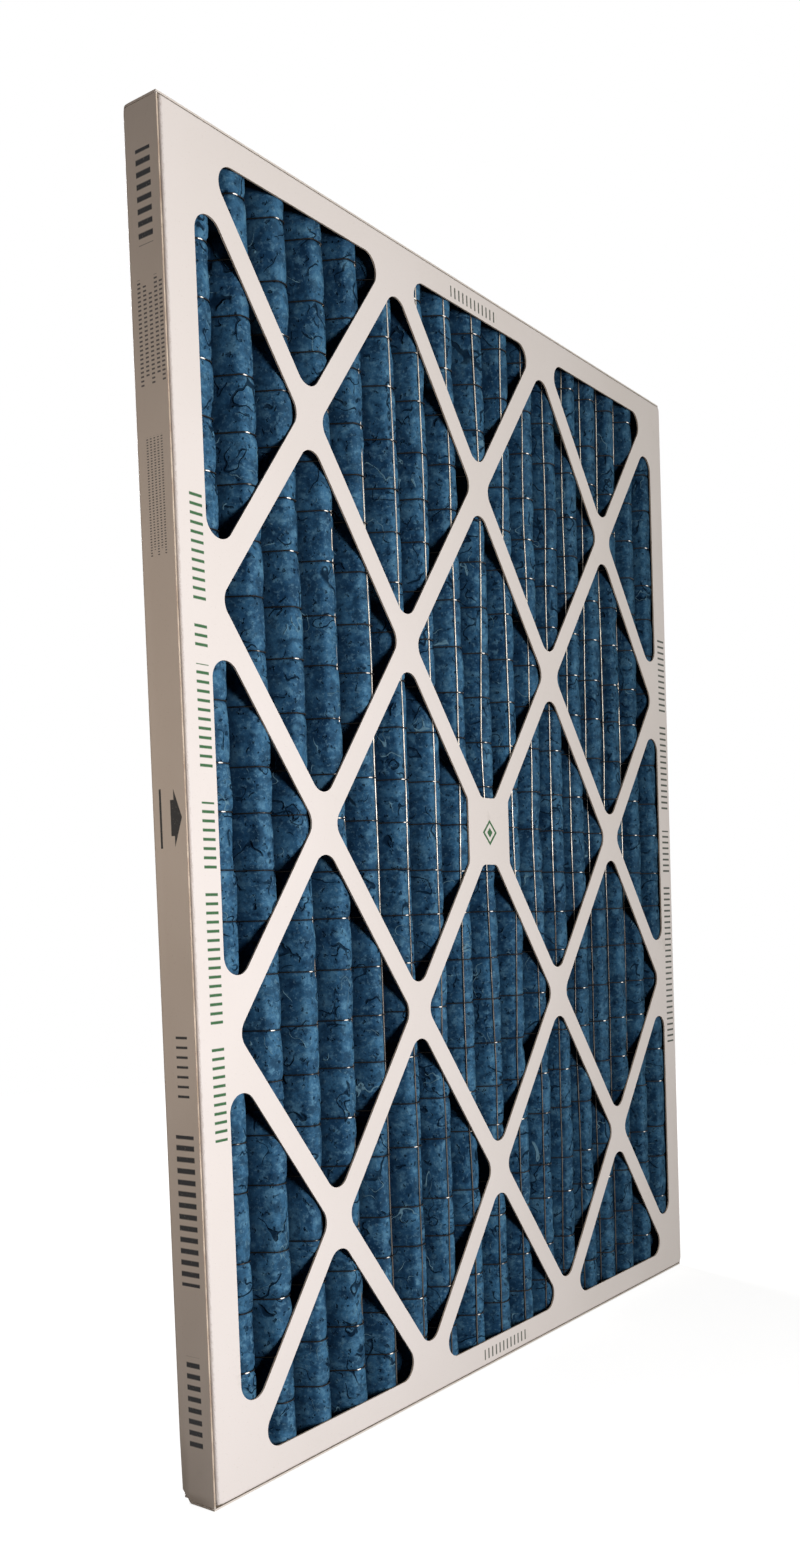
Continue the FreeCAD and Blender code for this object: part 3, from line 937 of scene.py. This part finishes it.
# %% Rows and columns
def felt_columns():
    """Distances along the line for the felt's columns."""
    columns = [0.0, 4 * MM, 8 * MM, 11.4 * MM, 13 * MM]
    columns += [reach[1] + step * MM for step in (1.2, 3.2)]
    for pleat in range(PLEATS):
        spots = [reach[2 + 4 * pleat] - 0.6 * MM]
        for run, parts in (
            (2, (0.07, 0.20, 0.34, 0.48, 0.62, 0.76, 0.88, 0.96)),
            (3, (0.03, 0.28, 0.52, 0.76, 0.98)),
            (4, (0.07, 0.27, 0.50, 0.76, 0.93)),
            (5, (0.07, 0.5)),
        ):
            start, end = reach[run + 4 * pleat], reach[run + 1 + 4 * pleat]
            spots += [start + (end - start) * part for part in parts]
        wire = long_wire_reach(pleat, MIDDLE.z)
        nearest = min(range(1, len(spots) - 1), key=lambda k: abs(spots[k] - wire))
        spots[nearest] = wire
        columns += spots
    columns += [reach[-2] - 1.2 * MM, reach[-2] + 1.2 * MM]
    columns += [reach[-1] - step * MM for step in (11.4, 8, 4, 0)]
    spaced = []
    for far in sorted(columns):
        if not spaced or far - spaced[-1] > 0.5 * MM:
            spaced.append(far)
    spaced[-1] = reach[-1]
    return spaced


def felt_rows(offsets):
    """Heights with rows at these offsets from each cross wire."""
    rows = [felt_low.z, felt_high.z]
    rows += [level + offset * MM for level in cross_z for offset in offsets]
    return sorted(row for row in rows if felt_low.z <= row <= felt_high.z)


columns = felt_columns()
front_rows = felt_rows((-8.8, -5.2, -2.3, -0.9, 0, 0.9, 2.3, 5.2, 8.8))
back_rows = felt_rows((0, 12.7))
print(len(columns), "columns,", len(front_rows), "front rows,", len(back_rows), "back rows")

# %% Skins of the felt
CROSS_GRIP = 1.25 * MM
LONG_GRIP = 1.5 * MM


def press(far, z):
    """How hard the wires press here: 1 at a cross wire, and at a long wire."""
    to_cross = min(abs(z - level) for level in cross_z)
    cross = math.exp(-(to_cross / CROSS_GRIP) ** 1.5)
    pleat = min(range(PLEATS), key=lambda k: abs(crest_reach[k] - far))
    to_long = abs(far - long_wire_reach(pleat, z))
    grip = 1.0 if pleat > 4 or pleat == 4 and z < 0.5 else 0.2
    return cross, grip * math.exp(-(to_long / LONG_GRIP) ** 2)


def front_swell(far, z, crest_share):
    """How far the front skin stands off the plain felt, and how hard it is pressed."""
    cross, along = press(far, z)
    spot = Vector((far, z, 0))
    lumps = noise.noise(spot * 38) * 0.4 + noise.noise(spot * 85) * 0.45
    lumps += noise.noise(spot * 210 + Vector((5, 1, 2))) * 0.2
    dents = min(0, noise.noise(spot * 52 + Vector((9, 9, 1))) + 0.22) * 3.0
    open_height = 1.45 + lumps + dents
    height = (open_height * (1 - cross) + 0.68 * cross) * (0.25 + 0.75 * crest_share)
    height = height * (1 - along) + 0.05 * along
    return max(0.03, min(1.85, height)) * MM, max(cross, along * 0.6)


def back_swell(far, z, valley_share):
    """How far the back skin stands off the plain felt."""
    spot = Vector((far, z, 3))
    soft = abs(noise.noise(spot * 60)) * 0.7 + abs(noise.noise(spot * 140)) * 0.35
    return soft * (1 - 0.8 * valley_share) * MM


def skin(shape, rows, front):
    """Adds one skin of the felt, and gives what each vertex carries."""
    made = bmesh.ops.create_grid(shape, x_segments=len(columns) - 1, y_segments=len(rows) - 1, size=0.5)
    verts = iter(made["verts"])
    spots = [run_of(far) for far in columns]
    carried = {}
    for level in rows:
        runs, arcs = bends(corners_at(level, lofty=True), *FELT_FOLDS)
        for far, spot in zip(columns, spots):
            place, heading = on_line(runs, arcs, *spot)
            depth = min(1, max(0, (place.y - CREST_Y) / (VALLEY_Y - CREST_Y)))
            at_flap = min(far, reach[-1] - far) < reach[1]
            if front:
                swell, pressed_shade = front_swell(far, level, 0.25 if at_flap else 1 - depth ** 3)
                away = FELT / 2 + swell
            else:
                away, pressed_shade = -FELT / 2 - back_swell(far, level, 1 if at_flap else depth ** 4), 0.0
            vert = next(verts)
            vert.co = (*off_line(place, heading, away), true_height(level, far))
            carried[vert] = (far, level, pressed_shade)
    return carried


felt_shape = bmesh.new()
flat_map = felt_shape.loops.layers.uv.new("laid_flat")
pressed_shade_layer = felt_shape.verts.layers.float.new("pressed_shade")
carried = skin(felt_shape, front_rows, True)
front_skin = set(felt_shape.faces)
middle_row = list(carried)[len(front_rows) // 2 * len(columns):][:len(columns)]
laid = [0.0]
for here, there in zip(middle_row, middle_row[1:]):
    laid.append(laid[-1] + (there.co - here.co).length)
laid_at = dict(zip(columns, laid))
carried.update(skin(felt_shape, back_rows, False))
back_skin = [face for face in felt_shape.faces if face not in front_skin]
print("felt skins:", len(front_skin), "and", len(back_skin), "faces")

# %% Rims, map and attribute
def rim(faces, axis, value):
    """Edges of one skin along one side of the sheet."""
    edges = {edge for face in faces for edge in face.edges if len(edge.link_faces) == 1}
    return [edge for edge in edges if all(abs(carried[vert][axis] - value) < 1e-7 for vert in edge.verts)]


sides = [(0, 0.0), (0, reach[-1]), (1, felt_low.z), (1, felt_high.z)]
pairs = [(rim(front_skin, *side), rim(back_skin, *side)) for side in sides]
for front_rim, back_rim in pairs:
    bmesh.ops.bridge_loops(felt_shape, edges=front_rim + back_rim)
bmesh.ops.recalc_face_normals(felt_shape, faces=felt_shape.faces)
if max(front_skin, key=lambda face: -face.calc_center_median().y).normal.y > 0:
    bmesh.ops.reverse_faces(felt_shape, faces=felt_shape.faces)
for face in felt_shape.faces:
    face.smooth = True
    for loop in face.loops:
        far, level, pressed_shade = carried[loop.vert]
        loop[flat_map].uv = (laid_at[far], level)
# The pressed amount also drives the felt finish's darker colour: denser felt and painted shade in the
# furrows.
for vert, (far, level, pressed_shade) in carried.items():
    vert[pressed_shade_layer] = pressed_shade
open_edges = sum(len(edge.link_faces) != 2 for edge in felt_shape.edges)
print("felt:", len(felt_shape.faces), "faces,", open_edges, "open edges")

# %% [markdown]
# ## Felt finish
# The felt is a mat of coarse blue fibres. Fibres catch the light in pale flecks
# and short streaks, between them it is dark, and its colour drifts in cloudy
# patches. Where a wire presses it, it is painted darker: partly denser felt,
# partly painted shade in the furrow. Behind the crest fronts and deep in each
# fold it is painted darker as painted shade, and the crest fronts are painted a
# little lighter as a painted highlight. Thin creases and pits wander over it
# where the mat has buckled, painted dark as painted shade. The right half is
# painted a little darker as painted shade. The finish reads the flat map, so that
# nothing stretches over a fold.

# %% Blue felt
FELT_SHADE = (0.003, 0.011, 0.027, 1)


def hooks(flat, bent, scale, width, share):
    """Short curved creases: pieces of the lines where a noise crosses its middle."""
    ridge = off_by(field(bent, scale, 1, 0.5), 0.5)
    here = ramp(field(flat, scale * 1.3, 0), share, share + 0.05)
    return times(ramp(ridge, width, width * 0.35), here)


def felt_finish():
    """Blue fibres with clouds, flecks and creases, with painted shade in creases, furrows, folds and the
    right half and a painted highlight on the crests, on the flat map.
    """
    finish, _, (across, depth, _) = new_finish("blue_felt")
    tree = finish.node_tree
    flat = node(tree, "UVMap", uv_map="laid_flat").outputs[0]
    cloud = field(flat, 46, 4, 0.6)
    tufts = field(flat, 170, 5, 0.68)
    fibres = field(flat, 430, 4, 0.7)
    patches = field(flat, 115, 3, 0.58)
    colour = blend(ramp(cloud, 0.34, 0.66), (0.015, 0.059, 0.131, 1), (0.044, 0.143, 0.266, 1))
    colour = layered(
        colour,
        (patches, 0.49, 0.35, 0.65, (0.007, 0.028, 0.066, 1)),
        (patches, 0.53, 0.67, 0.58, (0.096, 0.236, 0.366, 1)),
        (tufts, 0.50, 0.36, 0.66, (0.007, 0.026, 0.062, 1)),
        (tufts, 0.53, 0.68, 0.72, (0.118, 0.276, 0.420, 1)),
        (fibres, 0.54, 0.66, 0.50, (0.150, 0.300, 0.420, 1)),
        (fibres, 0.46, 0.34, 0.55, (0.007, 0.024, 0.056, 1)),
        # Painted shade: the felt is painted darker towards the right.
        (across, -0.06, 0.20, 0.32, FELT_SHADE),
        # Painted highlight: the front of each crest is painted a little lighter.
        (depth, CREST_Y + 0.2 * MM, CREST_Y - 1.6 * MM, 0.10, (0.130, 0.280, 0.410, 1)),
        # Painted shade: the felt is painted darker behind the crest fronts and darker still deep in each
        # fold.
        (depth, CREST_Y - 1.4 * MM, CREST_Y + 2.0 * MM, 0.30, FELT_SHADE),
        (depth, CREST_Y + 1.0 * MM, VALLEY_Y - 5 * MM, 0.72, FELT_SHADE),
    )
    stirred = node(tree, "TexNoise", {"Vector": flat, "Scale": 60, "Detail": 2}).outputs[1]
    nudge = node(tree, "VectorMath", {0: stirred, "Scale": 0.02}, operation="SCALE").outputs[0]
    bent = node(tree, "VectorMath", {0: flat, 1: nudge}, operation="ADD").outputs[0]
    # Painted shade: creases and pits are dents in the bump, and their dark colour is painted shade.
    pits = ramp(field(flat, 300, 2, 0.6), 0.38, 0.31, 0, 0.8)
    creases = (hooks(flat, bent, *kind) for kind in ((34, 0.010, 0.57), (61, 0.016, 0.585)))
    crease = either(*creases, pits)
    colour = tint(colour, crease, 0.85, FELT_SHADE)
    loops = hooks(flat, bent, 47, 0.008, 0.61)
    colour = tint(colour, loops, 0.5, (0.192, 0.352, 0.448, 1))
    # Where a wire presses, the felt is painted darker: partly denser felt, partly painted shade in the
    # furrow.
    pressed_shade = node(tree, "Attribute", attribute_name="pressed_shade").outputs["Fac"]
    colour = layered(colour, (pressed_shade, 0.35, 1.0, 0.60, (0.005, 0.018, 0.040, 1)))
    lumps = field(flat, 80, 2)
    relief = weighted((tufts, 0.45), (fibres, 0.14), (lumps, 1.1), (loops, 0.3), (crease, -0.9))
    dress(colour, ramp(fibres, 0.3, 0.7, 0.95, 0.75), relief, 1.0, 1 * MM, specular=0.0)
    return finish


felt = into_scene(felt_shape, "pleated_felt", [felt_finish()])
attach(felt, "root")
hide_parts("pleated_media")
print("felt triangles:", sum(len(face.vertices) - 2 for face in felt.data.polygons))

# %% [markdown]
# ## The wire grid
# The wire is bright drawn steel, round and less than a millimetre thick. Each
# wire is a curve with a round bevel, made a mesh. The cross wires lie in the
# furrows that the pillows leave. Their steel is painted nearly black as painted
# shade, and a painted glint shows near the left corner of each crest. The long
# wires lie flat on the felt, under the cross wires; they are painted a little
# darker where they lie back from the crest fronts and darker low on the filter,
# as painted shade.

# %% Steel finish
def steel_finish(name, bright, dark, patches, painted_valley_shade, painted_low_shade):
    """Drawn steel, painted darker where it lies back from the crest fronts and low on the filter as painted
    shade, with a painted glint near the crest corners.
    """
    finish, place, (_, y, height) = new_finish(name)
    dull = field(place, 160, 3, 0.6)
    # Painted glint: a bright highlight painted near each crest's left corner.
    painted_glint = node(finish.node_tree, "Attribute", attribute_name="painted_glint").outputs["Fac"]
    painted_glint = times(painted_glint, ramp(field(place, 45, 1), 0.42, 0.62))
    colour = layered(
        blend(ramp(dull, *patches), bright, dark),
        (field(place, 700, 2), 0.62, 0.74, 0.5, dark),
        # Painted shade: the steel is painted darker where it lies back from the front of the crests.
        (y, CREST_Y - 2.7 * MM, CREST_Y - 2.0 * MM, painted_valley_shade, (0.02, 0.018, 0.017, 1)),
        # Painted shade: the steel is painted darker low on the filter.
        (height, 0.31, 0.25, painted_low_shade, (0.016, 0.015, 0.016, 1)),
        (painted_glint, 0.15, 0.7, 1.0, (0.95, 0.90, 0.84, 1)),
    )
    rough = ramp(dull, 0.3, 0.7, 0.34, 0.52)
    relief = field(place, 1800, 2)
    dress(colour, rough, relief, 0.25, 0.05 * MM, specular=0.5, metallic=1.0)
    return finish


long_steel = steel_finish(
    "drawn_steel", (0.66, 0.60, 0.53, 1), (0.34, 0.30, 0.26, 1), (0.40, 0.66, 0, 0.8), 0.2, 0.85,
)
# Painted shade: the cross wires' steel is painted nearly black, the shade of the furrows they lie in.
shaded_cross_steel = steel_finish(
    "drawn_steel_painted_shade", (0.034, 0.031, 0.032, 1), (0.012, 0.012, 0.014, 1),
    (0.42, 0.56, 0.2, 1.0), 0.9, 0,
)

# %% Wires
PAINTED_GLINT_REACH = 1.1 * MM
LONG_WIRE_STEPS = 75


def drawn_wire(solid, points, radius, finish, painted_glints=()):
    """A round wire through these points, for one solid, with a painted glint near each given x."""
    name = "grid_" + solid
    line = bpy.data.curves.new(name, "CURVE")
    line.dimensions = "3D"
    line.bevel_depth = radius
    line.bevel_resolution = 1
    line.use_fill_caps = True
    spline = line.splines.new("POLY")
    spline.points.add(len(points) - 1)
    for spot, point in zip(spline.points, points):
        spot.co = (*point, 1)
    drawn = shown(name, line)
    mesh = as_mesh(drawn)
    bpy.data.objects.remove(drawn)
    mesh.name = name
    painted_shine = mesh.attributes.new("painted_glint", "FLOAT", "POINT")
    # How near each point is to a painted glint.
    for vert in mesh.vertices:
        near = min([abs(vert.co.x - x) for x in painted_glints], default=1.0)
        painted_shine.data[vert.index].value = math.exp(-(near / PAINTED_GLINT_REACH) ** 2)
    mesh.materials.clear()
    mesh.materials.append(finish)
    mesh.shade_smooth()
    wire = shown(name, mesh)
    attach(wire, "root")
    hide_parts(solid)
    return len(mesh.polygons)


def long_wire_points(pleat):
    """The line of one long wire, from the bottom up."""
    for step in range(LONG_WIRE_STEPS + 1):
        z = felt_low.z + (felt_high.z - felt_low.z) * step / LONG_WIRE_STEPS
        runs, arcs = bends(corners_at(z), *WIRE_FOLDS)
        place, heading = on_line(runs, arcs, *run_of(long_wire_reach(pleat, z)))
        yield (*off_line(place, heading, LONG_AWAY), z)


def cross_wire_points(level):
    """The line of the cross wire at a level, from the first valley to the last."""
    runs, arcs = bends(corners_at(level), *WIRE_FOLDS)
    for run in range(2, len(runs) - 2):
        first, last = (arcs[corner][1] / runs[run][2] for corner in (run, run + 1))
        parts = (0.0, first * 0.5, first, 0.33 + 0.2 * first, 0.67 - 0.2 * last, 1 - last, 1 - last * 0.5)
        for part in parts:
            place, heading = on_line(runs, arcs, run, part)
            far = reach[run] + part * (reach[run + 1] - reach[run])
            yield (*off_line(place, heading, CROSS_AWAY), true_height(level, far))


faces = 0
for number, level in enumerate(cross_z, 1):
    # The painted glints sit at the left corner of each crest.
    painted_glints = [corner.x for corner in corners_at(level)[3:-2:4]]
    points = list(cross_wire_points(level))
    faces += drawn_wire("cross_wire_%02d" % number, points, CROSS_RADIUS, shaded_cross_steel, painted_glints)
print("cross wires:", faces, "faces")
faces = 0
for pleat in range(PLEATS):
    points = list(long_wire_points(pleat))
    faces += drawn_wire("long_wire_%02d" % (pleat + 1), points, LONG_RADIUS, long_steel)
print("long wires:", faces, "faces")
